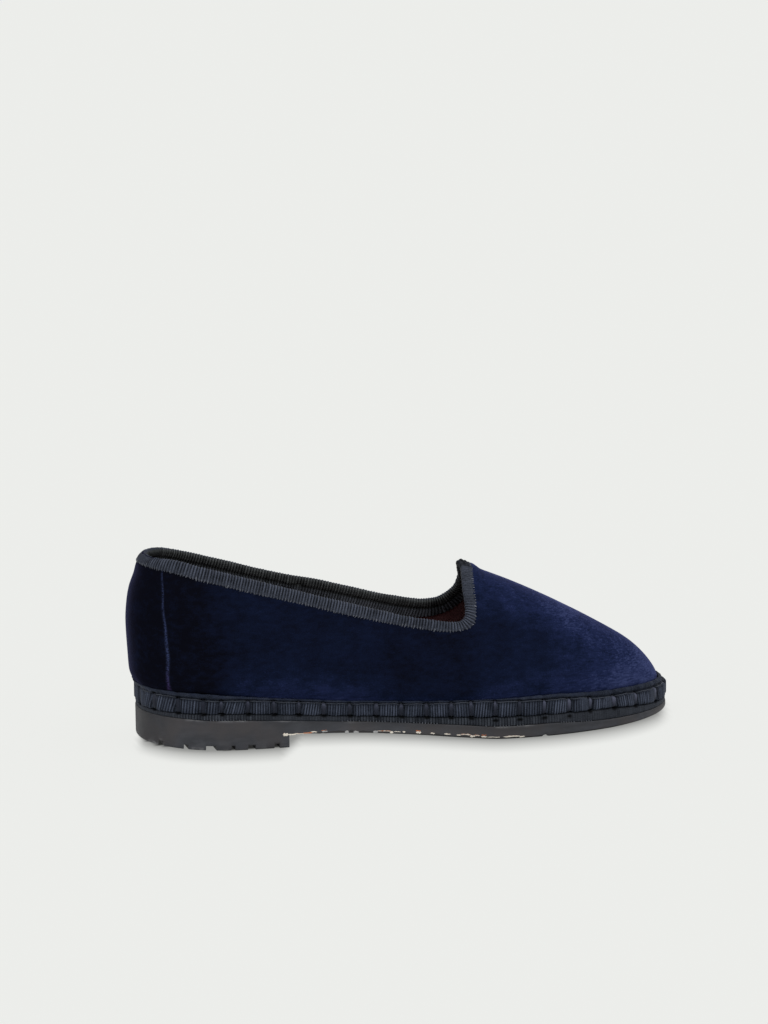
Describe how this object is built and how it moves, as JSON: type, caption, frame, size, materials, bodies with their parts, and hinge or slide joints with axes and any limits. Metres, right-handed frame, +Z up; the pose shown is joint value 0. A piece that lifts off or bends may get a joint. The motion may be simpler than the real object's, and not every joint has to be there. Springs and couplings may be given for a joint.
{
  "type": "slipper loafer",
  "caption": "Low-cut slip-on shoe for the right foot: soft velvet upper with a ribbon-bound collar, stitched ribbon welt, textile midsole and thin rubber sole with a low grooved heel.",
  "frame": {"origin": "floor level under the middle of the shoe's bounding box", "axes": "+X from heel to toe, +Y to the medial side, +Z up"},
  "size_m": [0.2444, 0.0838, 0.0842],
  "materials": {
    "velvet": "short navy pile",
    "binding_ribbon": "ribbed grey-navy ribbon",
    "welt_ribbon": "ribbed grey-navy ribbon, padded",
    "midsole_ribbon": "ribbed grey-navy ribbon over layered cloth",
    "outsole_rubber": "matte dark grey",
    "heel_rubber": "matte dark grey, grooved tread",
    "insole_cloth": "dark red cloth"
  },
  "bodies": {
    "root": {"upper": "velvet", "collar_binding": "binding_ribbon", "welt": "welt_ribbon", "midsole": "midsole_ribbon", "outsole": "outsole_rubber", "heel_lift": "heel_rubber", "insole": "insole_cloth"}
  },
  "joints": []
}
